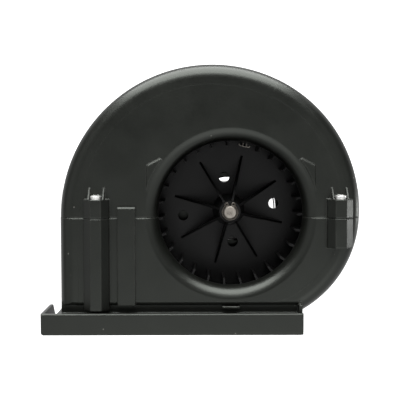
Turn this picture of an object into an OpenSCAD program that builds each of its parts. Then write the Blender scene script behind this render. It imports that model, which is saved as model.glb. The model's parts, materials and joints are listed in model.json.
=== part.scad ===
// Heater blower: a scroll housing in two halves, a squirrel-cage fan and the motor that drives it.
// Working frame: the fan axis runs along Y, X to the right as seen from the inlet, Y to the back, Z up,
// with the scroll's front face at Y = 0. Each sub-part is then moved so that the origin is the middle
// of the underside.

/* [Scroll housing] */
// Radius of the scroll's arc beside the cut-off
cutoff_arc_r = 85.2; // [82:0.2:88]
// Radius of the scroll's arc on the right and over the top
middle_arc_r = 109.6; // [104:0.2:112]
// Radius of the scroll's arc on the upper left
outer_arc_r = 115.4; // [113:0.2:120]
// Distance of the cut-off arc's centre to the right of the fan axis
cutoff_shift = 12.7; // [9:0.1:15]
// Direction in which the cut-off arc runs into the middle arc
middle_joint_angle = -6; // [-12:1:-4]
// Direction in which the middle arc runs into the outer arc
outer_joint_angle = 64; // [55:1:75]
// Depth of the housing from its front face to its rear face
housing_depth = 76; // [72:0.5:90]
// Thickness of the moulded walls
wall = 2.5; // [2:0.1:3]
// Rounding of the scroll's outer edges
edge_round = 10.5; // [6:0.5:12]
// Distance of the split between the halves below the fan axis
split_drop = 3; // [1:0.5:5]
// Step by which the lower half stands proud of the upper half at the split
split_step = 0.5; // [0.2:0.1:0.8]
// Chamfer of the lower half's edge at the split
split_chamfer = 0.6; // [0.3:0.1:1]

/* [Inlet] */
// Distance of the inlet's throat outside the blades' inner edges
throat_margin = 3; // [2:0.1:4]
// Radius of the rounding from the front face into the throat
mouth_r = 11; // [8:0.25:12]
// Length of the throat's collar behind that rounding
collar_len = 1.5; // [1:0.25:3]
// Height of the two locating lugs beside the inlet
lug_h = 1.2; // [1:0.1:2]
// Distance by which the lugs stand out beside the rounding
lug_reach = 7.2; // [4:0.2:9]
// Direction of the lugs' lower ends
lug_from = 15; // [10:1:20]
// Direction of the lugs' outer corners
lug_knee = 30; // [26:1:33]
// Direction of the lugs' upper ends
lug_to = 38; // [35:1:42]

/* [Clamping posts] */
// Distance of the left post from the fan axis
left_post_x = 101; // [96:0.5:104]
// Distance of the right post from the fan axis
right_post_x = 81.5; // [79:0.5:84]
// Half the width of the eight-sided posts across their flats
post_r = 9.5; // [8.5:0.25:10]
// Height of the screw seats above the fan axis
seat_z = 11; // [9:0.5:14]
// Distance of the left post's foot below the fan axis
left_post_drop = 72; // [50:1:72]
// Distance of the right post's foot below the fan axis
right_post_drop = 25.5; // [22:0.5:30]
// Distance of the screws from the front and rear faces
screw_standoff = 4.8; // [4.6:0.1:5]
// Height of the gussets beside the screw heads
gusset_h = 8.5; // [5:0.5:12]
// Thickness of the gussets
gusset_t = 1.2; // [0.8:0.1:1.6]
// Distance of the gussets from the screw's axis
gusset_offset = 5.4; // [5.2:0.1:6]
// Depth of the pilot holes below the split
pilot_depth = 15; // [12:0.5:20]

/* [Cover strip] */
// Distance of the raised strip's left edge from the fan axis
strip_left = 85.4; // [84:0.2:87]
// Width of the raised strip
strip_w = 13.4; // [8:0.2:15]
// Height of the strip above the front face
strip_h = 3; // [1:0.5:4]
// Height of the strip's upper end above the fan axis
strip_top = 5.4; // [2:0.2:10]
// Chamfer of the strip's upper end
strip_chamfer = 1.2; // [0.5:0.1:1.5]

/* [Outlet flange] */
// Height of the fan axis above the underside
axis_height = 89.5; // [86:0.5:96]
// Distance of the fascia's left end from the fan axis
fascia_left = 141.9; // [139:0.1:150]
// Distance of the fascia's right end from the fan axis
fascia_right = 53.5; // [50:0.5:56]
// Height of the fascia
fascia_h = 16; // [12:0.5:18]
// Distance by which the fascia stands before the front face
fascia_reach = 12.5; // [12.5:0.5:16]
// Rounding of the fascia's lower corners
fascia_round = 2.5; // [1:0.5:4]
// Chamfer of the fascia's front edges
fascia_chamfer = 0.7; // [0.3:0.1:1]
// Height of the fascia's edge above the flange plate
fascia_lip = 2; // [1:0.5:3]
// Distance by which the plate stands behind the rear face
plate_overhang = 10; // [6:0.5:14]
// Distance by which the plate stands out beside the scroll's left wall
plate_ledge = 2.4; // [1:0.2:4]
// Length of the hook's upper edge behind the front face
hook_top_len = 34; // [25:1:45]
// Length of the hook's lower edge behind the front face
hook_foot_len = 48; // [46:1:60]
// Height of the groove between scroll and flange plate
groove_h = 6.5; // [4:0.5:8]
// Depth of the groove behind the front face
groove_depth = 4; // [2:0.5:5]
// Rounding of the scroll's edge over the groove
groove_round = 3; // [1:0.5:4]
// Distance of the cut-off from the fan axis, to the left
tongue_x = 30; // [20:1:45]
// Width of the catch under the inlet
catch_w = 13; // [8:0.5:16]
// Width of the locating peg at the flange's right end
peg_w = 2.5; // [2:0.25:3]
// Height of the locating peg above the flange plate
peg_h = 7; // [5:0.5:9]

/* [Fan] */
// Outer radius of the fan's blades
fan_r = 68; // [66:0.5:69]
// Inner radius of the fan's blades
blade_inner_r = 52; // [50:0.5:54]
// Number of blades
blade_count = 27; // [20:1:32]
// Distance of the hub plate before the housing's rear face
hub_setback = 13.6; // [12:0.2:18]
// Thickness of the blades
blade_t = 1.4; // [1:0.1:1.8]
// Radius of the blades' forward curve
blade_curve_r = 16; // [14.5:0.5:24]
// Direction of the first blade's inner edge
blade_phase = 11.5; // [0:0.5:24]
// Width of the slope on the blades' front inner corners
tip_w = 3.4; // [2:0.2:6]
// Angle of that slope
tip_slope = 20; // [10:1:30]
// Gap between the inlet's collar and the blades
fan_gap = 1.5; // [1:0.5:3]
// Width of the ring that joins the blades' front ends
ring_w = 4.5; // [3:0.5:6]
// Thickness of that ring
ring_t = 3; // [2:0.5:5]
// Thickness of the hub plate
hub_t = 2.4; // [2:0.1:3]
// Length of the boss before the hub plate
boss_len = 38.8; // [36:0.2:42]
// Radius of the boss at its front end
boss_front_r = 8; // [7.5:0.25:9]
// Radius of the boss at the hub plate
boss_foot_r = 13; // [10:0.5:16]
// Number of fins between boss and hub plate
fin_count = 8; // [4:1:12]
// Radius at which the fins run out
fin_r = 45; // [36:1:47]
// Thickness of the fins
fin_t = 1.6; // [1:0.1:2]
// Direction of the first fin
fin_phase = 31; // [20:1:40]
// Distance by which the fins end behind the boss's front end
fin_setback = 5; // [2:0.5:10]
// Radius of the vent holes in the hub plate
vent_r = 4.2; // [3:0.1:5]
// Distance of the inner pair of vent holes from the axis
inner_vent_at = 26.7; // [24:0.2:29]
// Distance of the outer pair of vent holes from the axis
outer_vent_at = 37.2; // [35:0.2:39]
// Direction of the first outer vent hole
vent_phase = 7.5; // [4:0.5:12]

/* [Shaft and retaining ring] */
// Radius of the shaft where it carries the fan
fan_seat_r = 5; // [4.5:0.1:5.5]
// Radius of the shaft in the bearings
journal_r = 4; // [3.5:0.1:4.2]
// Distance by which the shaft's end stands out of the retaining ring
shaft_stub = 2.2; // [1:0.1:4]
// Thickness of the retaining ring
clip_ring_t = 1; // [0.8:0.1:1.2]
// Depth of the ring's groove in the shaft
clip_groove = 0.4; // [0.2:0.05:0.5]
// Width of the retaining ring's band
clip_ring_w = 1.7; // [1.4:0.1:1.9]
// Radius of the ring's two ears
clip_ear_r = 1.7; // [1.4:0.1:1.9]
// Radius of the holes in the ears
clip_hole_r = 0.75; // [0.5:0.05:0.9]

/* [Motor] */
// Radius of the motor's can
can_r = 26; // [25.6:0.1:27]
// Distance of the can's two flat sides from the axis
can_flat = 21.5; // [21.4:0.1:22.5]
// Length of the motor's can
can_len = 50; // [50:0.5:60]
// Thickness of the can's sheet steel
can_t = 1.2; // [1:0.1:1.2]
// Radius of the armature core
core_r = 19.6; // [19:0.1:19.8]
// Length of the armature core
core_len = 26; // [20:0.5:26]
// Number of slots in the armature core
slot_count = 12; // [8:2:14]
// Gap between the armature and the magnets
air_gap = 0.7; // [0.5:0.1:0.9]
// Radius of the commutator
commutator_r = 9.2; // [9:0.1:10]
// Outer radius of the two bearing bushes
bush_r = 8; // [7:0.1:8.5]
// Length of the bearing bushes
bush_len = 6; // [5:0.5:6.5]
// Width and height of the carbon brushes
brush_w = 5; // [4:0.25:5.5]
// Length of the carbon brushes
brush_len = 9; // [7:0.25:9.5]

/* [Motor carrier] */
// Thickness of the rubber sleeve round the motor
sleeve_t = 2; // [1.5:0.1:2.5]
// Length of the cup that holds the motor
cup_len = 24; // [18:0.5:30]
// Thickness of the carrier's plate
carrier_t = 3; // [2.5:0.1:4]
// Radius of the rear wall's opening
rear_opening_r = 46; // [45:0.5:47]
// Width of the carrier's rim on the rear wall
carrier_rim = 8; // [7.5:0.25:9]
// Inner radius of the carrier's windows
window_inner_r = 33; // [32.5:0.5:34.5]
// Outer radius of the carrier's windows
window_outer_r = 38.2; // [37:0.2:40]
// Width of the rib between each window and the slit outside it
slit_rib = 0.8; // [0.6:0.1:1.5]
// Width of the slits
slit_w = 0.8; // [0.6:0.1:1.5]
// Angle that each window spans
window_angle = 64; // [50:1:70]
// Width of the snap fingers that hold the motor
finger_w = 14; // [10:0.5:16]
// Width of the cooling slots over the motor's flat sides
lip_slot_w = 20; // [16:0.5:20]

/* [Fits] */
// Radial clearance of the shaft in its bushes
running_clearance = 0.05; // [0.02:0.01:0.1]
// Radial clearance of pieces that are pressed or slid together
seat_clearance = 0.02; // [0.01:0.01:0.05]
// Gap between pieces that turn and pieces that stand still
turning_gap = 0.3; // [0.3:0.05:0.5]

/* [Screws] */
// Radius of the screws' threads
thread_r = 2.3; // [2:0.1:2.4]
// Radius of the screws' heads
head_r = 4.5; // [4:0.1:4.5]
// Height of the screws' heads
head_h = 3.6; // [3:0.1:4.5]
// Radial clearance of the screws in the pieces that they clamp
screw_clearance = 0.4; // [0.2:0.05:0.5]

/* [Hidden] */
$fn = 96;

// Colours of the mouldings and metals
housing_black = "#2a2a28";
fan_black = "#242424";
zinc = "#c9cbc8";
steel = "#9c9a96";
rubber_black = "#1b1b1b";
ferrite = "#3c3b3a";
copper = "#a8623a";
carbon = "#2e2c2b";
bronze = "#9a7b4f";
brass = "#c2a35a";
end_cap_grey = "#33342f";

// Larger than any piece, for cutting tools
far = 400;
// Overlap of cutting tools past the faces that they cut
past = 1;

// Centres of the scroll's three tangent arcs
cutoff_centre = [cutoff_shift, 0];
middle_centre = cutoff_centre - polar(middle_arc_r - cutoff_arc_r, middle_joint_angle);
outer_centre = middle_centre - polar(outer_arc_r - middle_arc_r, outer_joint_angle);
scroll_left = outer_centre.x - outer_arc_r;
scroll_right = middle_centre.x + middle_arc_r;

// Heights of the flange and its plate
underside = -axis_height;
fascia_top = underside + fascia_h;
plate_top = fascia_top - fascia_lip;
plate_left = scroll_left - plate_ledge;
plate_back = housing_depth + plate_overhang;
groove_top = plate_top + groove_h;
neck_front = groove_depth + wall;
outlet_left = scroll_left + wall;
groove_right = fascia_right - peg_w;
// Height of the split between the halves
split = -split_drop;
// Direction in which the cut-off arc starts, below the flange plate
cutoff_start = -95;
// Direction in which the outer arc ends, below the split
outer_end = 190;
// Step between two swept arcs, too small to see, that keeps their rounded edges apart
arc_step = 0.05;
// Step between the rim and the flat faces, for the same reason
face_step = 0.1;
rear_face = housing_depth - face_step;
// Width of the rim that follows the scroll's arcs, with a flat strip inside its rounded edges
rim_flat = 4;
rim_band = edge_round + rim_flat;
// Distances from the outside to which the flat faces lap onto that strip, unlike on the two arcs
middle_lap = edge_round + 0.6 * rim_flat;
outer_lap = edge_round + 0.4 * rim_flat;
// Turn by which the outer arc starts before its joint, so that the two arcs overlap
joint_turn = 1;
// Turn by which the faces' own joint lies beside the rim's
lap_turn = 10;
// Depth of the right post's root where the scroll's edge rounds away
edge_root = edge_round / 2;

// Front planes of the two halves' faces
upper_front = split_step + face_step;
lower_front = face_step;
// Gap between the cover strip and the upper half that it laps over
strip_gap = 0.1;

// Radius of the inlet's throat, and the radius at which its rounding starts
throat_r = blade_inner_r + throat_margin;
mouth_edge_r = throat_r + mouth_r;
// Depth of the rounding's centre behind the face, which it cuts at a slight angle
mouth_centre = mouth_r - 0.1;

// Radius of the fan's front ring and hub plate, which stand just outside the blades
fan_rim = 1;
rim_r = fan_r + fan_rim;

// Places along the fan axis
fan_front = upper_front + mouth_r + collar_len + fan_gap;
hub_back = housing_depth - hub_setback;
hub_front = hub_back - hub_t;
boss_front = hub_front - boss_len;
clip_back = boss_front - seat_clearance;
clip_front = clip_back - clip_ring_t;
shaft_front = clip_front - shaft_stub;
can_front = housing_depth;
can_back = can_front + can_len;
// The front bush reaches this far before the can's front face
bush_reach = 4.5;
bush_front = can_front - bush_reach;
washer_t = 1;
shoulder = bush_front - turning_gap - washer_t;
// Radius of the thrust washers, clear of the can's nose
washer_r = bush_r - can_t - turning_gap;
// Distance of the armature core behind the can's front face
core_setback = 8;
core_front = can_front + core_setback;
core_back = core_front + core_len;
// Length of the windings that stands out at each end of the core
end_turn = 5;
commutator_front = core_back + end_turn + turning_gap;
// Distance by which the commutator reaches into the end cap
commutator_reach = 2;
commutator_back = can_back + commutator_reach;
// Walls of the box round each brush
brush_wall = 1.5;
brush_box = brush_w + 2 * brush_wall;
brush_at = can_back - seat_clearance - brush_box / 2;
// Inner end of the brushes, just clear of the commutator
brush_in = commutator_r + turning_gap;
// Radius of the bends of the flat springs behind the brushes
spring_bend_r = 1.4;
spring_start = brush_in + brush_len + seat_clearance;
spring_end = spring_start + 2 * spring_bend_r;
// Thickness of the end cap, and of the walls before and behind its bush
cap_t = 3;
bush_wall = 1.5;
cap_back = can_back + cap_t;
rear_bush_front = cap_back + bush_wall;
rear_bush_back = rear_bush_front + bush_len;
cap_boss_back = rear_bush_back + bush_wall;
shaft_back = rear_bush_back + bush_wall / 3;
// Connector socket behind the end cap, above the axis
socket_w = 18;
socket_h = 9;
socket_len = 12;
socket_wall = 1.5;
socket_floor = 2.5;
socket_at = 17;
socket_back = cap_back + socket_len;

// Carrier
cup_inner_r = can_r + sleeve_t;
cup_outer_r = cup_inner_r + wall;
carrier_r = rear_opening_r + carrier_rim;
carrier_back = rear_face + carrier_t;
carrier_screw_at = rear_opening_r + carrier_rim / 2;
carrier_screw_angles = [30, 150, 270];
finger_angles = [30, 150, 210, 330];
// The lip that the motor's front face rests on
seat_lip_t = 3;
seat_lip_r = 22;
finger_hook = 2;
carrier_boss_r = thread_r + 2;
carrier_boss_len = 8;

// Middle of the whole part's box, which becomes the origin
middle_x = (scroll_right - fascia_left) / 2;
middle_y = (max(socket_back, cap_boss_back) - fascia_reach) / 2;

function polar(r, a) = [r * cos(a), r * sin(a)];

// Moves a sub-part from the fan axis to the part's own frame
module placed() {
    translate([-middle_x, -middle_y, -underside]) children();
}

// Extrudes an outline drawn in X and Z from one depth to another
module between(front, back) {
    translate([0, back, 0]) rotate([90, 0, 0]) linear_extrude(back - front) children();
}

// Turns a profile drawn as radius and depth round the fan axis
module turned() {
    rotate([-90, 0, 0]) rotate_extrude() children();
}

// A cylinder on the fan axis from one depth to another
module disc(r, front, back) {
    translate([0, front, 0]) rotate([-90, 0, 0]) cylinder(r = r, h = back - front);
}

// A ring on the fan axis
module band(inner, outer, front, back) {
    turned() translate([inner, front]) square([outer - inner, back - front]);
}

// Places a shape at a direction round the fan axis, counted from the right towards the top
module at_angle(a) {
    rotate([0, -a, 0]) children();
}

// A box given by its two corners
module box(low, high) {
    translate(low) cube(high - low);
}

// Everything above a height
module above(z) {
    box([-far, -far, z], [far, far, far]);
}

// Everything below a height
module below(z) {
    box([-far, -far, -far], [far, far, z]);
}

// The wedge of the plane between two directions, seen from a point
module wedge(at, from, to) {
    steps = 3;
    rays = [for (i = [0:steps]) at + polar(far, from + (to - from) * i / steps)];
    polygon(concat([at], rays));
}

// A rounded end of a block: everything up to a radius, between two depths
module rounded_end(r, front, back, round_r) {
    translate([0, front]) square([r - round_r, back - front]);
    translate([0, front + round_r]) square([r, back - front - 2 * round_r]);
    for (y = [front + round_r, back - round_r]) translate([r - round_r, y]) circle(round_r);
}

// The housing's section at its outer edge: side wall, rounded edges and a strip of both faces
module rim_section(r, front, inset, band) {
    outside = r - inset;
    near = front + inset;
    rear = housing_depth - inset;
    difference() {
        rounded_end(outside, near, rear, edge_round);
        rounded_end(outside - wall, near + wall, rear - wall, edge_round - wall);
        translate([0, -far / 2]) square([r - band, far]);
    }
}

// That section swept along one of the scroll's arcs
module rim_arc(centre, r, from, to, front, inset = 0, band = rim_band) {
    translate([centre.x, 0, centre.y])
        rotate([-90, 0, 0])
            rotate([0, 0, -to])
                rotate_extrude(angle = to - from) rim_section(r, front, inset, band);
}

// That section down the scroll's straight left side
module rim_left(bottom, top) {
    translate([outer_centre.x, 0, bottom])
        mirror([1, 0, 0])
            linear_extrude(top - bottom) rim_section(outer_arc_r, 0, 0, rim_band);
}

// A flat outline as the front face and as the rear face, just behind the rim's own planes
module both_faces(front) {
    between(front + face_step, front + face_step + wall) children();
    between(rear_face - wall, rear_face) children();
}

// The shell above the split, set back by the step; both arcs run on below the split before it is cut
module upper_shell() {
    intersection() {
        union() {
            rim_arc(middle_centre, middle_arc_r, middle_joint_angle, outer_joint_angle, split_step);
            rim_arc(outer_centre, outer_arc_r, outer_joint_angle - joint_turn, outer_end, split_step,
                arc_step, rim_band + past);
            both_faces(split_step) {
                translate(middle_centre) circle(middle_arc_r - middle_lap);
                intersection() {
                    translate(outer_centre) circle(outer_arc_r - outer_lap);
                    wedge(outer_centre, outer_joint_angle - lap_turn, outer_end + lap_turn);
                }
            }
        }
        above(split);
    }
}

// The shell below the split, where the cut-off arc runs on past the split before it is cut
module lower_shell() {
    bottom = plate_top - wall / 2;
    left = scroll_left + outer_lap;
    intersection() {
        union() {
            rim_arc(cutoff_centre, cutoff_arc_r, cutoff_start, -middle_joint_angle, 0);
            rim_left(bottom - past, split + past);
            both_faces(0) {
                translate(cutoff_centre) circle(cutoff_arc_r - middle_lap);
                translate([left, bottom - past]) square([cutoff_centre.x - left, split - bottom + 2 * past]);
            }
        }
        box([-far, -far, bottom], [far, far, split]);
    }
}

// A long cutter for the edge between a front face and the face above it, along X through the origin
module edge_cut(size) {
    over = 0.2;
    rotate([90, 0, 90]) linear_extrude(2 * far, center = true)
        polygon([[-over, -size - over], [size + over, over], [-over, over]]);
}

// The part of a piece that lies between two flat sides
module flat_sided(half) {
    intersection() {
        children();
        box([-far, -far, -half], [far, far, half]);
    }
}

// The wall behind the inlet's rounding and the throat's collar, as a full ring
module inlet_backing(front) {
    centre = front + mouth_centre;
    turned() {
        difference() {
            translate([throat_r - past, front + wall / 2]) square([mouth_r + past, mouth_centre - wall / 2]);
            translate([mouth_edge_r, centre]) circle(mouth_r - wall);
        }
        translate([throat_r - past, centre - past]) square([wall - face_step + past, collar_len + past]);
    }
}

// The inlet's rounded mouth, to be cut from the front wall and its backing
module inlet_mouth(front) {
    crossing = 0.03;
    centre = front + mouth_centre;
    turned() {
        translate([0, -far / 4]) square([throat_r + crossing, far / 4 + centre + collar_len + past]);
        difference() {
            translate([throat_r - past, -far / 4]) square([mouth_r + past, far / 4 + centre]);
            translate([mouth_edge_r, centre]) circle(mouth_r);
        }
    }
}

// A locating lug beside the inlet, on the right, with chamfered upper and outer edges
module locating_lug() {
    upper = polar(mouth_edge_r + lug_reach / 4, lug_to);
    corner = polar(mouth_edge_r + lug_reach, lug_knee);
    lower = polar(mouth_edge_r, lug_from);
    face = upper_front - lug_h;
    difference() {
        between(face, upper_front + wall / 2)
            polygon([polar(throat_r, lug_to), upper, corner, lower, polar(throat_r, lug_from)]);
        for (edge = [corner - upper, lower - corner])
            translate([corner.x, face, corner.y])
                rotate([0, -atan2(edge.y, edge.x), 0]) edge_cut(0.7 * lug_h);
    }
}

// Half of an eight-sided post on a face, from one height to another, with its root in the wall
module post(x, low, high, root) {
    flat = post_r * tan(22.5);
    translate([x, 0, low]) linear_extrude(high - low)
        polygon([
            [-post_r, wall / 2], [-post_r, -flat], [-flat, -post_r],
            [flat, -post_r], [post_r, -flat], [post_r, root]
        ]);
}

// The two gussets beside a screw's head
module gussets(x) {
    for (side = [-1, 1])
        translate([x + side * gusset_offset - gusset_t / 2, 0, seat_z])
            rotate([90, 0, 90])
                linear_extrude(gusset_t)
                    polygon([[wall / 2, 0], [gusset_t - post_r, 0], [0, gusset_h], [wall / 2, gusset_h]]);
}

// A post of the lower half, with its front edges chamfered at the split
module lower_post(x, low, root) {
    difference() {
        post(x, low, split, root);
        for (turn = [-45, 0, 45])
            translate([x, 0, split]) rotate([0, 0, turn]) translate([0, -post_r, 0])
                edge_cut(turn == 0 ? split_chamfer : split_chamfer - arc_step);
    }
}

// The raised strip on the lower half's front, which laps over the upper half
module cover_strip() {
    right = strip_w - strip_left;
    difference() {
        union() {
            box([-strip_left, -strip_h, groove_top], [right, wall, split - strip_gap]);
            box([-strip_left, -strip_h, groove_top], [right, split_step - strip_gap, strip_top]);
        }
        translate([0, -strip_h, strip_top]) edge_cut(strip_chamfer);
    }
}

// Repeats a front feature on the rear face
module front_and_rear() {
    children();
    translate([0, housing_depth, 0]) mirror([0, 1, 0]) children();
}

// Places a hole or screw at each clamping post
module at_posts() {
    front_and_rear()
        for (x = [-left_post_x, right_post_x])
            translate([x, -screw_standoff, 0]) children();
}

// The bosses on the inside of the rear wall for the carrier's screws
module carrier_bosses(angles) {
    front = housing_depth - wall - carrier_boss_len;
    for (a = angles)
        at_angle(a) translate([carrier_screw_at, front, 0]) rotate([-90, 0, 0])
            cylinder(r = carrier_boss_r, h = carrier_boss_len + wall / 2);
}

// The pilot holes in those bosses, through the rear wall
module carrier_pilots(angles) {
    for (a = angles)
        at_angle(a)
            translate([carrier_screw_at, housing_depth - carrier_boss_len, 0]) rotate([-90, 0, 0])
                cylinder(r = thread_r + seat_clearance, h = carrier_boss_len + past);
}

// Opening of the rear wall, which the motor's carrier covers
module rear_opening() {
    disc(rear_opening_r, housing_depth - wall - past, housing_depth + past);
}

module upper_housing() {
    color(housing_black) placed() difference() {
        union() {
            difference() {
                upper_shell();
                rear_opening();
            }
            intersection() {
                inlet_backing(upper_front);
                above(split);
            }
            front_and_rear() {
                post(-left_post_x, split, seat_z, wall / 2);
                post(right_post_x, split, seat_z, edge_root);
                gussets(-left_post_x);
                gussets(right_post_x);
            }
            locating_lug();
            mirror([1, 0, 0]) locating_lug();
            carrier_bosses([30, 150]);
        }
        inlet_mouth(upper_front);
        at_posts() translate([0, 0, split - past])
            cylinder(r = thread_r + screw_clearance, h = seat_z - split + 2 * past);
        carrier_pilots([30, 150]);
    }
}

// The groove under the scroll's front face, with the rounded edge over it
module groove() {
    left = scroll_left - past;
    box([left, -past, plate_top - past], [groove_right, groove_depth, groove_top]);
    difference() {
        box([left, -past, groove_top - past], [groove_right, groove_round, groove_top + groove_round]);
        translate([left - past, groove_round, groove_top + groove_round]) rotate([0, 90, 0])
            cylinder(r = groove_round, h = groove_right - left + 2 * past);
    }
}

// The outlet's neck behind the groove, with the shelf that joins it to the front face
module neck_wall() {
    left = scroll_left + wall / 2;
    right = groove_right + wall;
    box([left, groove_depth, plate_top - wall / 2], [right, neck_front, groove_top + wall]);
    box([left + edge_round, 0, groove_top], [right, neck_front, groove_top + wall]);
    box([groove_right, 0, plate_top - wall / 2], [right, neck_front, groove_top + wall]);
}

// The front board of the flange, with rounded lower corners and chamfered front edges
module fascia() {
    low = underside + fascia_round;
    difference() {
        between(-fascia_reach, wall - fascia_reach) {
            translate([-fascia_left, low]) square([fascia_left + fascia_right, fascia_top - low]);
            translate([fascia_round - fascia_left, underside])
                square([fascia_left + fascia_right - 2 * fascia_round, fascia_h]);
            for (x = [fascia_round - fascia_left, fascia_right - fascia_round])
                translate([x, low]) circle(fascia_round);
        }
        translate([0, -fascia_reach, fascia_top]) edge_cut(fascia_chamfer);
        translate([fascia_right, -fascia_reach, 0]) rotate([0, 90, 0]) edge_cut(fascia_chamfer);
        translate([-fascia_left, -fascia_reach, 0]) rotate([0, -90, 0]) edge_cut(fascia_chamfer);
    }
}

// The hook that runs back from the fascia's left end
module hook() {
    front = wall / 2 - fascia_reach;
    translate([-fascia_left, 0, 0]) rotate([90, 0, 90]) linear_extrude(wall)
        polygon([
            [front, fascia_top], [hook_top_len, fascia_top],
            [hook_foot_len, underside + wall], [hook_foot_len, underside],
            [0, underside], [front, underside + fascia_round]
        ]);
}

// The flange plate with its skirts
module flange_tray() {
    front = -fascia_reach + wall / 2;
    difference() {
        box([plate_left, front, underside], [fascia_right, plate_back, plate_top]);
        box([plate_left + wall, front - past, underside - past],
            [fascia_right - wall, plate_back - wall, plate_top - wall]);
    }
}

module lower_housing() {
    color(housing_black) placed() difference() {
        union() {
            difference() {
                union() {
                    difference() {
                        lower_shell();
                        rear_opening();
                        front_and_rear() translate([0, 0, split]) edge_cut(split_chamfer);
                    }
                    neck_wall();
                }
                groove();
            }
            intersection() {
                inlet_backing(lower_front);
                below(split);
            }
            front_and_rear() {
                lower_post(-left_post_x, -left_post_drop, wall / 2);
                lower_post(right_post_x, -right_post_drop, edge_root);
            }
            cover_strip();
            carrier_bosses([270]);
            difference() {
                flange_tray();
                box([outlet_left, neck_front, underside - past],
                    [-tongue_x, housing_depth - wall, plate_top + past]);
            }
            fascia();
            hook();
            box([-catch_w / 2, -groove_depth / 3, groove_top - wall],
                [catch_w / 2, neck_front, groove_top - wall / 3]);
            box([fascia_right - peg_w, -2 * peg_w, plate_top - wall / 2],
                [fascia_right, wall, plate_top + peg_h]);
        }
        inlet_mouth(lower_front);
        at_posts() translate([0, 0, split - pilot_depth])
            cylinder(r = thread_r + seat_clearance, h = pilot_depth + past);
        carrier_pilots([270]);
    }
}

// A pan-head screw with a cross recess, its thread pointing down and its head's seat at the origin
module pan_screw(length) {
    rim = head_h / 3;
    recess = head_h / 2;
    slot = head_r / 4;
    difference() {
        union() {
            translate([0, 0, -length]) cylinder(r = thread_r, h = length);
            cylinder(r = head_r, h = rim);
            intersection() {
                translate([0, 0, head_h - 2 * head_r]) sphere(2 * head_r);
                cylinder(r = head_r, h = head_h);
            }
        }
        for (turn = [0, 90])
            rotate([0, 0, turn]) translate([-head_r / 2, -slot / 2, head_h - recess])
                cube([head_r, slot, head_h]);
    }
}

module housing_screws() {
    color(zinc) placed() at_posts() translate([0, 0, seat_z])
        pan_screw(seat_z + split_drop + pilot_depth - past);
}

// One forward-curved blade as a flat outline, its inner edge on the X axis
module blade_outline() {
    centre = [blade_inner_r, blade_curve_r];
    intersection() {
        difference() {
            translate(centre) circle(blade_curve_r + blade_t / 2);
            translate(centre) circle(blade_curve_r - blade_t / 2);
        }
        wedge(centre, -100, -15);
        difference() {
            circle(fan_r);
            circle(blade_inner_r);
        }
    }
}

module fan_wheel() {
    fin_front = boss_front + fin_setback;
    tip_back = fan_front + (tip_w + past) * tan(tip_slope);
    tip_mouth_r = blade_inner_r + tip_w + past / tan(tip_slope);
    color(fan_black) placed() difference() {
        union() {
            between(fan_front, hub_front + hub_t / 2)
                for (i = [0:blade_count - 1])
                    rotate(blade_phase + i * 360 / blade_count) blade_outline();
            band(fan_r - ring_w, rim_r, fan_front, fan_front + ring_t);
            disc(rim_r, hub_front, hub_back);
            turned() polygon([
                [0, boss_front], [boss_front_r, boss_front], [boss_foot_r, hub_front],
                [boss_foot_r, hub_back], [0, hub_back]
            ]);
            for (i = [0:fin_count - 1])
                at_angle(fin_phase + i * 360 / fin_count)
                    translate([0, 0, -fin_t / 2]) linear_extrude(fin_t)
                        polygon([
                            [fan_seat_r + past, fin_front], [boss_front_r, fin_front],
                            [fin_r, hub_front], [fin_r, hub_front + hub_t / 2],
                            [fan_seat_r + past, hub_front + hub_t / 2]
                        ]);
        }
        turned() polygon([
            [0, fan_front - past], [tip_mouth_r, fan_front - past],
            [blade_inner_r - past, tip_back], [0, tip_back]
        ]);
        disc(fan_seat_r + seat_clearance, boss_front - past, hub_back + past);
        for (half = [0, 180]) {
            at_angle(vent_phase + half) translate([outer_vent_at, 0, 0])
                disc(vent_r, hub_front - past, hub_back + past);
            at_angle(vent_phase + half + 90) translate([inner_vent_at, 0, 0])
                disc(vent_r, hub_front - past, hub_back + past);
        }
    }
}

module motor_shaft() {
    chamfer = 0.6;
    color(steel) placed() difference() {
        union() {
            turned() polygon([
                [0, shaft_front], [fan_seat_r - chamfer, shaft_front], [fan_seat_r, shaft_front + chamfer],
                [fan_seat_r, shoulder], [0, shoulder]
            ]);
            disc(journal_r, shoulder - past, shaft_back);
        }
        band(fan_seat_r - clip_groove, fan_seat_r + past, clip_front - seat_clearance,
            clip_back + seat_clearance);
    }
}

module retaining_ring() {
    inner = fan_seat_r - clip_groove + seat_clearance;
    outer = inner + clip_ring_w;
    ear_at = inner + clip_ear_r;
    ear_angles = [66, 114];
    color(steel) placed() between(clip_front, clip_back) difference() {
        union() {
            circle(outer);
            for (a = ear_angles) translate(polar(ear_at, a)) circle(clip_ear_r);
        }
        circle(inner);
        wedge([0, 0], 80, 100);
        for (a = ear_angles) translate(polar(ear_at, a)) circle(clip_hole_r);
    }
}

module balance_clip() {
    sheet = 0.6;
    leg = 2.4;
    slot = blade_t + sheet;
    curl_r = 1.7;
    width = slot / 2 + sheet;
    front = fan_front - leg / 2;
    length = 3 * leg;
    clip_angle = blade_phase + 5 * 360 / blade_count;
    color(steel) placed() between(front, front + length) rotate(clip_angle) {
        difference() {
            translate([blade_inner_r - sheet, -width]) square([leg + sheet, 2 * width]);
            translate([blade_inner_r, -slot / 2]) square([leg + sheet, slot]);
        }
        for (side = [-1, 1])
            translate([blade_inner_r + curl_r - sheet, side * (width + curl_r - sheet)]) difference() {
                circle(curl_r);
                circle(curl_r - sheet);
                translate([0, -far / 2]) square(far);
            }
    }
}

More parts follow.
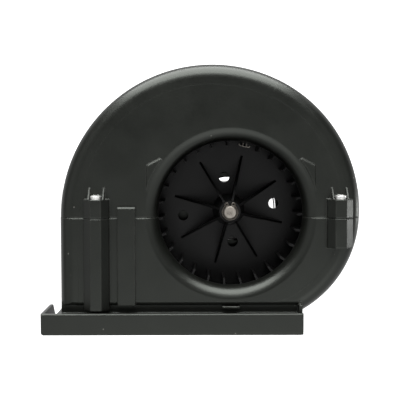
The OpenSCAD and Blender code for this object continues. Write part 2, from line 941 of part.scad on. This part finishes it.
module motor_carrier() {
    lip_front = housing_depth - seat_lip_t;
    finger_back = cap_back + finger_hook;
    color(housing_black) placed() difference() {
        union() {
            band(cup_inner_r, carrier_r, rear_face, carrier_back);
            band(seat_lip_r, cup_outer_r, lip_front, housing_depth);
            band(cup_inner_r, cup_outer_r, lip_front, housing_depth + cup_len);
            intersection() {
                union() {
                    band(cup_inner_r, cup_outer_r, housing_depth, finger_back);
                    band(cup_inner_r - sleeve_t - finger_hook, cup_outer_r, cap_back, finger_back);
                }
                for (a = finger_angles)
                    at_angle(a) box([0, 0, -finger_w / 2], [far, far, finger_w / 2]);
            }
        }
        for (a = carrier_screw_angles) {
            between(housing_depth - past, carrier_back + past) intersection() {
                union() {
                    difference() {
                        circle(window_outer_r);
                        circle(window_inner_r);
                    }
                    difference() {
                        circle(window_outer_r + slit_rib + slit_w);
                        circle(window_outer_r + slit_rib);
                    }
                }
                wedge([0, 0], a - window_angle / 2, a + window_angle / 2);
            }
            at_angle(a) translate([carrier_screw_at, 0, 0])
                disc(thread_r + screw_clearance, housing_depth - past, carrier_back + past);
        }
        for (half = [0, 180])
            at_angle(half) box([-lip_slot_w / 2, lip_front - past, 0], [lip_slot_w / 2, housing_depth, can_r]);
    }
}

module carrier_screws() {
    length = carrier_t + carrier_boss_len - past;
    color(zinc) placed() for (a = carrier_screw_angles)
        at_angle(a) translate([carrier_screw_at, carrier_back, 0]) rotate([-90, 0, 0]) pan_screw(length);
}

module motor_sleeve() {
    color(rubber_black) placed()
        band(can_r + seat_clearance, cup_inner_r - seat_clearance, housing_depth, housing_depth + cup_len);
}

module motor_can() {
    corner = 2.5;
    nose_r = bush_r + can_t;
    nose_front = bush_front - can_t;
    color(zinc) placed() difference() {
        flat_sided(can_flat) turned() {
            translate([0, can_front + corner]) square([can_r, can_len - corner]);
            translate([0, can_front]) square([can_r - corner, can_len]);
            translate([can_r - corner, can_front + corner]) circle(corner);
            translate([0, nose_front]) square([nose_r, bush_reach + can_t + past]);
        }
        flat_sided(can_flat - can_t) disc(can_r - can_t, can_front + can_t, can_back + past);
        disc(bush_r + seat_clearance, bush_front, can_front + 2 * can_t);
        disc(bush_r - can_t, nose_front - past, bush_front + past);
    }
}

module motor_magnets() {
    outer = can_r - can_t - seat_clearance;
    inner = core_r + air_gap;
    span = 100;
    overlap = 2;
    color(ferrite) placed() for (half = [0, 180])
        between(core_front - overlap, core_back + overlap) difference() {
            intersection() {
                circle(outer);
                wedge([0, 0], half - span / 2, half + span / 2);
            }
            circle(inner);
        }
}

module front_bearing() {
    color(bronze) placed() band(journal_r + running_clearance, bush_r, bush_front, bush_front + bush_len);
}

module rear_bearing() {
    color(bronze) placed() band(journal_r + running_clearance, bush_r, rear_bush_front, rear_bush_back);
}

module thrust_washers() {
    color(steel) placed() {
        band(journal_r + seat_clearance, washer_r, shoulder, shoulder + washer_t);
        band(journal_r + seat_clearance, washer_r, rear_bush_front - turning_gap - washer_t,
            rear_bush_front - turning_gap);
    }
}

// Slots of the armature core, round at the bottom and open by a neck to the outside
slot_r = 2.6;
tooth_tip = 1.6;
slot_at = core_r - slot_r - tooth_tip;
// Thickness of the slots' insulation
slot_liner = 0.3;
module core_slots(r) {
    neck = 2;
    for (i = [0:slot_count - 1]) rotate(i * 360 / slot_count) {
        translate([slot_at, 0]) circle(r);
        if (r == slot_r) translate([slot_at, -neck / 2]) square([core_r, neck]);
    }
}

module armature_core() {
    color(steel) placed() between(core_front, core_back) difference() {
        circle(core_r);
        circle(journal_r + seat_clearance);
        core_slots(slot_r);
    }
}

module armature_windings() {
    inner = slot_at - slot_r - tooth_tip;
    outer = slot_at + slot_r;
    color(copper) placed() {
        between(core_front - past, core_back + past) core_slots(slot_r - slot_liner);
        for (front = [core_front - end_turn, core_back])
            band(inner, outer, front + seat_clearance, front + end_turn - seat_clearance);
    }
}

module commutator() {
    slit_w = 0.5;
    slit_depth = 1;
    color(copper) placed() difference() {
        band(journal_r + seat_clearance, commutator_r, commutator_front, commutator_back);
        for (i = [0:slot_count - 1])
            at_angle((i + 0.5) * 360 / slot_count)
                box([commutator_r - slit_depth, commutator_front - past, -slit_w / 2],
                    [far, commutator_back + past, slit_w / 2]);
    }
}

// The ring that carries a box for each brush; the boxes are closed behind the springs
module brush_holder() {
    holder_r = spring_end + seat_clearance + brush_wall / 2;
    plate_front = brush_at - brush_box / 2 + brush_wall;
    brush_gap = brush_w / 2 + seat_clearance;
    color(carbon) placed() difference() {
        union() {
            flat_sided(can_flat - can_t - seat_clearance)
                band(brush_in + brush_wall, holder_r, plate_front, plate_front + brush_wall);
            for (side = [0, 180])
                at_angle(side)
                    box([brush_in + brush_wall, brush_at - brush_box / 2, -brush_box / 2],
                        [holder_r, brush_at + brush_box / 2, brush_box / 2]);
        }
        for (side = [0, 180])
            at_angle(side)
                box([0, brush_at - brush_gap, -brush_gap],
                    [spring_end + seat_clearance, brush_at + brush_gap, brush_gap]);
    }
}

module brushes() {
    color(carbon) placed() for (side = [0, 180])
        at_angle(side) difference() {
            box([brush_in - past, brush_at - brush_w / 2, -brush_w / 2],
                [brush_in + brush_len, brush_at + brush_w / 2, brush_w / 2]);
            disc(brush_in, brush_at - brush_w, brush_at + brush_w);
        }
}

module brush_springs() {
    strip = 0.4;
    color(steel) placed() for (side = [0, 180])
        at_angle(side) between(brush_at - brush_w / 3, brush_at + brush_w / 3)
            translate([spring_start + spring_bend_r, 0]) difference() {
                circle(spring_bend_r);
                circle(spring_bend_r - strip);
                translate([-strip / 2, 0]) square([strip, far]);
            }
}

module motor_end_cap() {
    spigot_r = can_r - can_t - seat_clearance;
    spigot_len = 2;
    boss_r = bush_r + 2 * bush_wall;
    vent_hole_r = 3;
    color(end_cap_grey) placed() difference() {
        union() {
            flat_sided(can_flat) disc(can_r, can_back, cap_back);
            flat_sided(can_flat - can_t - seat_clearance)
                band(spigot_r - bush_wall, spigot_r, can_back - spigot_len, can_back + past);
            disc(boss_r, can_back, cap_boss_back);
        }
        disc(bush_r + seat_clearance, rear_bush_front, cap_boss_back + past);
        disc(washer_r + turning_gap, can_back - past, rear_bush_front + past);
        disc(commutator_r + 2 * turning_gap, can_back - past, commutator_back + turning_gap);
        for (a = [0, 180, 225, 315])
            at_angle(a) translate([boss_r + 2 * vent_hole_r, 0, 0])
                disc(vent_hole_r, can_back - past, cap_back + past);
    }
}

module connector_socket() {
    outer = [socket_w / 2, 0, socket_h / 2];
    inner = outer - [socket_wall, 0, socket_wall];
    color(end_cap_grey) placed() translate([0, cap_back, socket_at]) difference() {
        box(-outer, outer + [0, socket_len, 0]);
        box([0, socket_floor, 0] - inner, inner + [0, socket_len + past, 0]);
    }
}

module terminal_blades() {
    blade_w = 6.3;
    blade_h = 0.8;
    pitch = 7.5;
    setback = 2;
    color(brass) placed() for (side = [-1, 1])
        translate([side * pitch / 2, cap_back, socket_at])
            box([-blade_w / 2, socket_floor, -blade_h / 2], [blade_w / 2, socket_len - setback, blade_h / 2]);
}

upper_housing();
lower_housing();
housing_screws();
fan_wheel();
motor_shaft();
retaining_ring();
balance_clip();
motor_carrier();
carrier_screws();
motor_sleeve();
motor_can();
motor_magnets();
motor_end_cap();
front_bearing();
rear_bearing();
thrust_washers();
armature_core();
armature_windings();
commutator();
brush_holder();
brushes();
brush_springs();
connector_socket();
terminal_blades();
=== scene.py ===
"""Heater blower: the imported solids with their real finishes, on a white light table."""
import json
import math

import bpy
from mathutils import Matrix, Vector


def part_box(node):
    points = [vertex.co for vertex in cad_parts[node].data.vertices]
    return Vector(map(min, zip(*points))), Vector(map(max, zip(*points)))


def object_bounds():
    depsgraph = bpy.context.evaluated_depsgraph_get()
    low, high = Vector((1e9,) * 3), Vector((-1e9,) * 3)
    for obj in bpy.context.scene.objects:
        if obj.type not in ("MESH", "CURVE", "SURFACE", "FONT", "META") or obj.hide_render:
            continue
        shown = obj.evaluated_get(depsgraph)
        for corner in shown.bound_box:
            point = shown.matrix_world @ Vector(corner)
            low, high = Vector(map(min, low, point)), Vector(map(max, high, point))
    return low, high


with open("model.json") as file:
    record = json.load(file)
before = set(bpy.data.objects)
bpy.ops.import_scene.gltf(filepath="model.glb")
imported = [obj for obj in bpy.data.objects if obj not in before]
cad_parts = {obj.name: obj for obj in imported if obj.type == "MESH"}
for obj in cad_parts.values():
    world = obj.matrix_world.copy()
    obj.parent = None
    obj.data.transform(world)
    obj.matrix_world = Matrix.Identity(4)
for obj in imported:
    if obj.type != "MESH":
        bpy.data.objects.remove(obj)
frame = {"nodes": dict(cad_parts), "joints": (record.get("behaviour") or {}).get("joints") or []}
cad_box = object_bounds()

MM = 0.001
WHITE = "#ffffff"
# A point on the fan's axis, which runs along Y, and the fan's front, where forward is the lower Y
AXIS = Vector(next(joint["pos_m"] for joint in frame["joints"] if joint["name"] == "fan_spin"))
FAN_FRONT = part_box("fan_wheel")[0].y

# What all finishes share: the detail in their patches and in their grain, the grain's share in the mix of
# the two, and the values of that mix at which a finish is at its darkest and at its lightest
PATCH_DETAIL = 3.0
GRAIN_DETAIL = 2.0
GRAIN_SHARE = 0.4
DARKEST = 0.3
LIGHTEST = 0.7
# Soft edges: how many rays look for them, and how far the surface turns there, as a cosine, where the
# lighter edge colour, partly wear and partly a painted highlight, is absent and where it is full
EDGE_RAYS = 6
WEAR_AND_HIGHLIGHT_NONE = 1.0
WEAR_AND_HIGHLIGHT_FULL = 0.8
# Regular lines: the length of one wave of the wave texture at a scale of 1, and how much the lines wander
WAVE_LENGTH = 2 * math.pi / 20
WAVE_WANDER = 0.3
# The colour sockets of a mix node
FIRST_COLOUR = 6
SECOND_COLOUR = 7
MIXED_COLOUR = 2
# House dust, a brownish grey
DUST_COLOUR = "#62615d"


def linear(hex_colour):
    """An sRGB hex value as linear RGBA."""
    parts = [int(hex_colour[i:i + 2], 16) / 255 for i in (1, 3, 5)]
    return [c / 12.92 if c <= 0.04045 else ((c + 0.055) / 1.055) ** 2.4 for c in parts] + [1.0]


def per_mm(size):
    """The texture scale that gives a pattern of that size in millimetres."""
    return 1 / (size * MM)


def add(tree, kind, links=(), **settings):
    """A node with its settings; links gives each input a value or another node's output."""
    made = tree.nodes.new(kind)
    for key, value in settings.items():
        setattr(made, key, value)
    for key, value in dict(links).items():
        if isinstance(value, bpy.types.NodeSocket):
            tree.links.new(value, made.inputs[key])
        else:
            made.inputs[key].default_value = value
    return made


def finish_of(name, dark, light, rough, grain, height, metal=0.0, specular=0.5, stretch=(1, 1, 1),
              patch=18.0, wave=None, worn_and_highlight=None, edge=0.35, tint=WHITE, dust=None, dull=None):
    """A material whose colour and roughness wander in patches over a fine surface grain.

    dark and light are hex colours, rough the lowest and highest roughness, grain and patch sizes
    in millimetres, height the grain's depth in millimetres. stretch draws the grain out along an
    axis, and wave gives regular lines as (kind, direction, spacing, depth), in millimetres too.
    Edges look rounded by edge millimetres, and where an edge colour is given they are lighter in it, partly
    as rubbed wear and partly as a painted highlight.
    specular and tint set the strength and the colour of a plastic's gloss, and dust gives pale
    specks as (spacing, size) in millimetres. dull gives a rougher front, as (where it starts and
    where it is full, both along Y in metres, its roughness).
    """
    material = bpy.data.materials.new(name)
    material.use_nodes = True
    tree = material.node_tree
    shader = tree.nodes["Principled BSDF"]
    place = add(tree, "ShaderNodeTexCoord").outputs["Object"]
    centred = add(tree, "ShaderNodeVectorMath", {0: place, 1: AXIS}, operation="SUBTRACT").outputs[0]
    drawn = add(tree, "ShaderNodeVectorMath", {0: centred, 1: stretch}, operation="MULTIPLY").outputs[0]

    # Patches and grain, and the colour that follows them
    patches = add(tree, "ShaderNodeTexNoise",
                  {"Vector": centred, "Scale": per_mm(patch), "Detail": PATCH_DETAIL}).outputs["Fac"]
    fine = add(tree, "ShaderNodeTexNoise",
               {"Vector": drawn, "Scale": per_mm(grain), "Detail": GRAIN_DETAIL}).outputs["Fac"]
    both = add(tree, "ShaderNodeMix", {"Factor": GRAIN_SHARE, "A": patches, "B": fine}).outputs["Result"]
    spread = add(tree, "ShaderNodeMapRange",
                 {"Value": both, "From Min": DARKEST, "From Max": LIGHTEST}).outputs["Result"]
    colour = add(tree, "ShaderNodeMix",
                 {"Factor": spread, FIRST_COLOUR: linear(dark), SECOND_COLOUR: linear(light)},
                 data_type="RGBA").outputs[MIXED_COLOUR]

    # Edges, and the lighter colour along them: partly rubbed wear, partly a painted highlight
    soft_edge = add(tree, "ShaderNodeBevel", {"Radius": edge * MM}, samples=EDGE_RAYS).outputs["Normal"]
    if worn_and_highlight:
        flat = add(tree, "ShaderNodeNewGeometry").outputs["Normal"]
        turn = add(tree, "ShaderNodeVectorMath", {0: flat, 1: soft_edge},
                   operation="DOT_PRODUCT").outputs["Value"]
        edge_wear_and_highlight = add(tree, "ShaderNodeMapRange",
                  {"Value": turn, "From Min": WEAR_AND_HIGHLIGHT_NONE, "From Max": WEAR_AND_HIGHLIGHT_FULL}).outputs["Result"]
        patchy_wear_and_highlight = add(tree, "ShaderNodeMath", {0: edge_wear_and_highlight, 1: spread}, operation="MULTIPLY").outputs[0]
        colour = add(tree, "ShaderNodeMix",
                     {"Factor": patchy_wear_and_highlight, FIRST_COLOUR: colour, SECOND_COLOUR: linear(worn_and_highlight)},
                     data_type="RGBA").outputs[MIXED_COLOUR]

    # Dust
    if dust:
        spacing, size = dust
        nearest = add(tree, "ShaderNodeTexVoronoi",
                      {"Vector": centred, "Scale": per_mm(spacing)}).outputs["Distance"]
        speck = add(tree, "ShaderNodeMath", {0: nearest, 1: size / 2 / spacing},
                    operation="LESS_THAN").outputs[0]
        colour = add(tree, "ShaderNodeMix",
                     {"Factor": speck, FIRST_COLOUR: colour, SECOND_COLOUR: linear(DUST_COLOUR)},
                     data_type="RGBA").outputs[MIXED_COLOUR]
    tree.links.new(colour, shader.inputs["Base Color"])

    # Roughness
    roughness = add(tree, "ShaderNodeMapRange",
                    {"Value": both, "From Min": DARKEST, "From Max": LIGHTEST,
                     "To Min": rough[0], "To Max": rough[1]}).outputs["Result"]
    if dull:
        start, full, roughest = dull
        along = add(tree, "ShaderNodeSeparateXYZ", {0: place}).outputs["Y"]
        roughness = add(tree, "ShaderNodeMapRange",
                        {"Value": along, "From Min": start, "From Max": full,
                         "To Min": roughness, "To Max": roughest}).outputs["Result"]
    tree.links.new(roughness, shader.inputs["Roughness"])

    # Relief of the grain and of the lines
    relief = add(tree, "ShaderNodeBump",
                 {"Height": fine, "Distance": height * MM, "Strength": 1.0,
                  "Normal": soft_edge}).outputs["Normal"]
    if wave:
        kind, direction, spacing, depth = wave
        lines = add(tree, "ShaderNodeTexWave",
                    {"Vector": centred, "Scale": per_mm(spacing) * WAVE_LENGTH, "Distortion": WAVE_WANDER},
                    wave_type=kind, bands_direction=direction, rings_direction=direction).outputs["Fac"]
        relief = add(tree, "ShaderNodeBump",
                     {"Height": lines, "Distance": depth * MM, "Strength": 1.0,
                      "Normal": relief}).outputs["Normal"]
    tree.links.new(relief, shader.inputs["Normal"])

    shader.inputs["Metallic"].default_value = metal
    if not metal:
        shader.inputs["Specular IOR Level"].default_value = specular
        shader.inputs["Specular Tint"].default_value = linear(tint)
    return material


# Finishes, whose real grain is finer than a pixel and is drawn 0.4 to 1.2 mm wide so that it shows

# Talc-filled polypropylene from a spark-eroded mould: a satin black, slightly greyer in patches, with its
# edges lightened partly by wear and partly by a painted highlight, and a little dust on it
housing_plastic = finish_of("polypropylene_moulded_satin_black", "#0b0c0a", "#121311", (0.285, 0.35),
                            grain=0.9, height=0.013, specular=0.38, worn_and_highlight="#3a3b38",
                            tint="#f8fff6", edge=1.6, dust=(13.0, 0.9))
# The blades' front ends: how far back they are dull and where the dullness has faded out, in millimetres,
# and how rough they are
DULL_FOR = 8
DULL_FADED = 12
DULL_ROUGHNESS = 0.9
# Polypropylene from a smooth mould: the fan's deeper black, duller than the housing, and dullest at the
# blades' front ends, which come from the mould's spark-eroded slots
fan_plastic = finish_of("polypropylene_moulded_smooth_black", "#080808", "#0d0d0d", (0.34, 0.44),
                        grain=1.2, height=0.008, specular=0.26, edge=0.15,
                        dull=(FAN_FRONT + DULL_FADED * MM, FAN_FRONT + DULL_FOR * MM, DULL_ROUGHNESS))
# Bright zinc plate: silvery with a faint spangle
zinc_screw = finish_of("steel_zinc_plated_bright", "#d6d8d8", "#f4f2ec", (0.34, 0.46),
                       grain=0.5, height=0.004, metal=1.0, patch=3.0)
# Turned and ground steel: fine rings round the axis, drawn 1.6 mm apart so that they show
shaft_steel = finish_of("steel_turned_bright", "#857f78", "#b3ada4", (0.24, 0.38),
                        grain=0.4, height=0.002, metal=1.0, patch=4.0, wave=("RINGS", "Y", 1.6, 0.006))
# Oiled spring steel: dark grey, lighter along its edges, partly rubbed and partly a painted highlight
spring_steel = finish_of("steel_spring_oiled", "#4a4744", "#6d6965", (0.26, 0.42),
                         grain=0.4, height=0.003, metal=1.0, patch=3.0, worn_and_highlight="#c9c1b4")
# Stamped spring steel, tumbled: a darker grey, its edges much lighter, partly rubbed and partly a painted
# highlight
stamped_spring_steel = finish_of("steel_spring_stamped_tumbled", "#3a3733", "#524d48", (0.3, 0.46),
                                 grain=0.4, height=0.003, metal=1.0, patch=3.0, worn_and_highlight="#ddd5c9", edge=0.5)
# Deep-drawn sheet with zinc plate: bright, with drawing lines along the can
can_steel = finish_of("steel_drawn_zinc_plated", "#a9aaa8", "#dad9d4", (0.2, 0.36),
                      grain=0.6, height=0.006, metal=1.0, patch=9.0, stretch=(1, 0.06, 1))
# Moulded rubber: dull black with a soft bloom
rubber = finish_of("rubber_moulded_matte", "#0f0f0f", "#1c1b1a", (0.7, 0.85),
                   grain=0.7, height=0.03, specular=0.3)
# Pressed and sintered ferrite: dark grey and slightly pitted
ferrite = finish_of("ferrite_sintered", "#2a2928", "#434140", (0.5, 0.7), grain=0.6, height=0.04)
# Punched sheets in a stack: a line every half millimetre along the shaft
laminations = finish_of("steel_laminated", "#5b5955", "#858079", (0.4, 0.55),
                        grain=0.5, height=0.006, metal=1.0, wave=("BANDS", "Y", 0.5, 0.03))
# Enamelled copper wire: reddish brown under a glossy varnish, a wire every 0.7 mm
enamelled_copper = finish_of("copper_enamelled_wire", "#7a3312", "#b4602c", (0.2, 0.34),
                             grain=0.7, height=0.02, metal=0.7, wave=("RINGS", "Y", 0.7, 0.1))
# Turned copper: reddish, with darker patches and a turned line every 0.4 mm
commutator_copper = finish_of("copper_turned", "#8c4f2e", "#c98a5e", (0.22, 0.4),
                              grain=0.5, height=0.004, metal=1.0, wave=("BANDS", "Y", 0.4, 0.006))
# Oil-filled sintered bronze: dull gold with open pores
bronze = finish_of("bronze_sintered", "#7d5f31", "#b08c52", (0.4, 0.6), grain=0.4, height=0.02, metal=1.0)
# Pressed carbon: nearly black with a faint shine
carbon = finish_of("carbon_pressed", "#1c1b1a", "#343231", (0.4, 0.55), grain=0.4, height=0.01)
# Moulded phenolic: dark brown, slightly mottled by its filler
phenolic = finish_of("phenolic_moulded", "#2c1d13", "#4a3322", (0.35, 0.5), grain=0.8, height=0.01, patch=5.0)
# Moulded polyamide: dark grey, a little fibre pattern from the glass in it
polyamide = finish_of("polyamide_moulded_glass_filled", "#22231f", "#34352f", (0.42, 0.58),
                      grain=0.8, height=0.015, stretch=(1, 0.3, 1))
# Stamped brass strip, tarnished in patches
terminal_brass = finish_of("brass_stamped", "#9a7830", "#d3b25e", (0.22, 0.36),
                           grain=0.4, height=0.003, metal=1.0, patch=2.5)

# The finish of each piece
FINISHES = {
    "upper_housing": housing_plastic, "lower_housing": housing_plastic, "motor_carrier": housing_plastic,
    "fan_wheel": fan_plastic, "housing_screws": zinc_screw, "carrier_screws": zinc_screw,
    "motor_shaft": shaft_steel, "retaining_ring": stamped_spring_steel, "balance_clip": spring_steel,
    "thrust_washers": spring_steel, "brush_springs": spring_steel, "motor_can": can_steel,
    "motor_sleeve": rubber, "motor_magnets": ferrite, "motor_end_cap": polyamide,
    "connector_socket": polyamide, "front_bearing": bronze, "rear_bearing": bronze,
    "armature_core": laminations, "armature_windings": enamelled_copper, "commutator": commutator_copper,
    "brush_holder": phenolic, "brushes": carbon, "terminal_blades": terminal_brass,
}
for node, finish in FINISHES.items():
    mesh = frame["nodes"][node].data
    mesh.materials.clear()
    mesh.materials.append(finish)

# The white light table that the blower stands on, with a glow of its own that keeps shadows off it
TABLE_HALF = 3.0
TABLE_COLOUR = "#808080"
TABLE_ROUGHNESS = 0.9
TABLE_GLOW = 1.1

table_white = bpy.data.materials.new("floor_white")
table_white.use_nodes = True
table_shader = table_white.node_tree.nodes["Principled BSDF"]
table_shader.inputs["Base Color"].default_value = linear(TABLE_COLOUR)
table_shader.inputs["Roughness"].default_value = TABLE_ROUGHNESS
table_shader.inputs["Emission Color"].default_value = linear(WHITE)
table_shader.inputs["Emission Strength"].default_value = TABLE_GLOW

table = bpy.data.meshes.new("floor")
table_corners = [(TABLE_HALF * x, TABLE_HALF * y, 0) for x, y in ((-1, -1), (1, -1), (1, 1), (-1, 1))]
table.from_pydata(table_corners, [], [(0, 1, 2, 3)])
table.materials.append(table_white)
floor = bpy.data.objects.new("floor", table)
bpy.context.scene.collection.objects.link(floor)
floor.visible_diffuse = False
floor.visible_glossy = False

# The room round it: white to look at, and dim as a light, so that the facets of the mouldings stand out from
# each other
ROOM_LIGHT = 0.13
# Its soft glows: where each one lies, the cosines of the angle from there at which it starts and is full, and
# its strength
GLOWS = (
    # Behind the blower
    ((0, 1, 0), -0.1, 0.35, 0.6),
    # Low in front of it
    ((0, -0.85, -0.53), 0.82, 1.0, 1.8),
    # On the left and on the right of the camera
    ((-0.75, -0.66, 0), 0.76, 1.0, 0.6),
    ((0.6, -0.8, 0), 0.8, 1.0, 0.4),
    # Low on the right
    ((0.6, -0.5, -0.62), 0.65, 1.0, 0.6),
    # Under the blower
    ((0, 0, -1), -0.15, 0.6, 0.4),
    # In front of the overhead box, fading out below its edge
    ((0, -0.78, 0.62), 0.95, 1.0, 2.5),
)

world = bpy.data.worlds.new("room")
world.use_nodes = True
room = world.node_tree
way = add(room, "ShaderNodeTexCoord").outputs["Generated"]
seen = add(room, "ShaderNodeLightPath").outputs["Is Camera Ray"]
level = add(room, "ShaderNodeMath", {0: seen, 1: ROOM_LIGHT}, operation="ADD").outputs[0]
for towards, start, full, strength in GLOWS:
    share = add(room, "ShaderNodeVectorMath", {0: way, 1: towards}, operation="DOT_PRODUCT").outputs["Value"]
    glow = add(room, "ShaderNodeMapRange",
               {"Value": share, "From Min": start, "From Max": full, "To Min": 0.0, "To Max": strength},
               interpolation_type="SMOOTHSTEP").outputs["Result"]
    level = add(room, "ShaderNodeMath", {0: level, 1: glow}, operation="ADD").outputs[0]
backdrop = room.nodes["Background"]
backdrop.inputs["Color"].default_value = linear(WHITE)
room.links.new(level, backdrop.inputs["Strength"])
bpy.context.scene.world = world
bpy.context.scene.view_settings.view_transform = "Standard"


def soft_box(name, place, aim, size, power):
    """A soft box: its place, what it aims at, its width and height, in metres, and its power in watts."""
    lamp = bpy.data.lights.new(name, "AREA")
    lamp.shape = "RECTANGLE"
    lamp.size, lamp.size_y = size
    lamp.energy = power
    box = bpy.data.objects.new(name, lamp)
    box.location = place
    box.rotation_euler = (Vector(aim) - Vector(place)).to_track_quat("-Z", "Y").to_euler()
    bpy.context.scene.collection.objects.link(box)


# A wide soft box overhead, reaching out before the blower
soft_box("overhead", place=(-0.05, -0.37, 0.95), aim=(-0.05, -0.37, 0.1), size=(1.2, 1.18), power=40.0)
# A low strip of light on the right, behind the blower's front, for the right-hand post and the rim
soft_box("right_side", place=(1.0, 0.22, 0.04), aim=(0.0, 0.0, 0.1), size=(0.5, 0.07), power=1.4)

# The camera, which stands where the photograph's lines converge: its sensor's width and its lens, in
# millimetres, and how far it looks down, turns and tilts, in degrees
SENSOR = 36.0
LENS = 82.8
PITCH = math.radians(2.68)
YAW = math.radians(-0.12)
ROLL = math.radians(-0.1)
# How far it stands to the left of the fan's axis, before the part's front and above the axis, in millimetres
EYE_LEFT = 24.75
EYE_BEFORE = 677.5
EYE_ABOVE = 42.75

camera = bpy.data.cameras.new("camera")
camera.sensor_width = SENSOR
camera.lens = LENS
eye = bpy.data.objects.new("camera", camera)
stand = Vector((AXIS.x - EYE_LEFT * MM, cad_box[0][1] - EYE_BEFORE * MM, AXIS.z + EYE_ABOVE * MM))
eye.matrix_world = (Matrix.Translation(stand)
                    @ Matrix.Rotation(YAW, 4, "Z")
                    @ Matrix.Rotation(math.pi / 2 - PITCH, 4, "X")
                    @ Matrix.Rotation(ROLL, 4, "Z"))
bpy.context.scene.collection.objects.link(eye)
bpy.context.scene.camera = eye
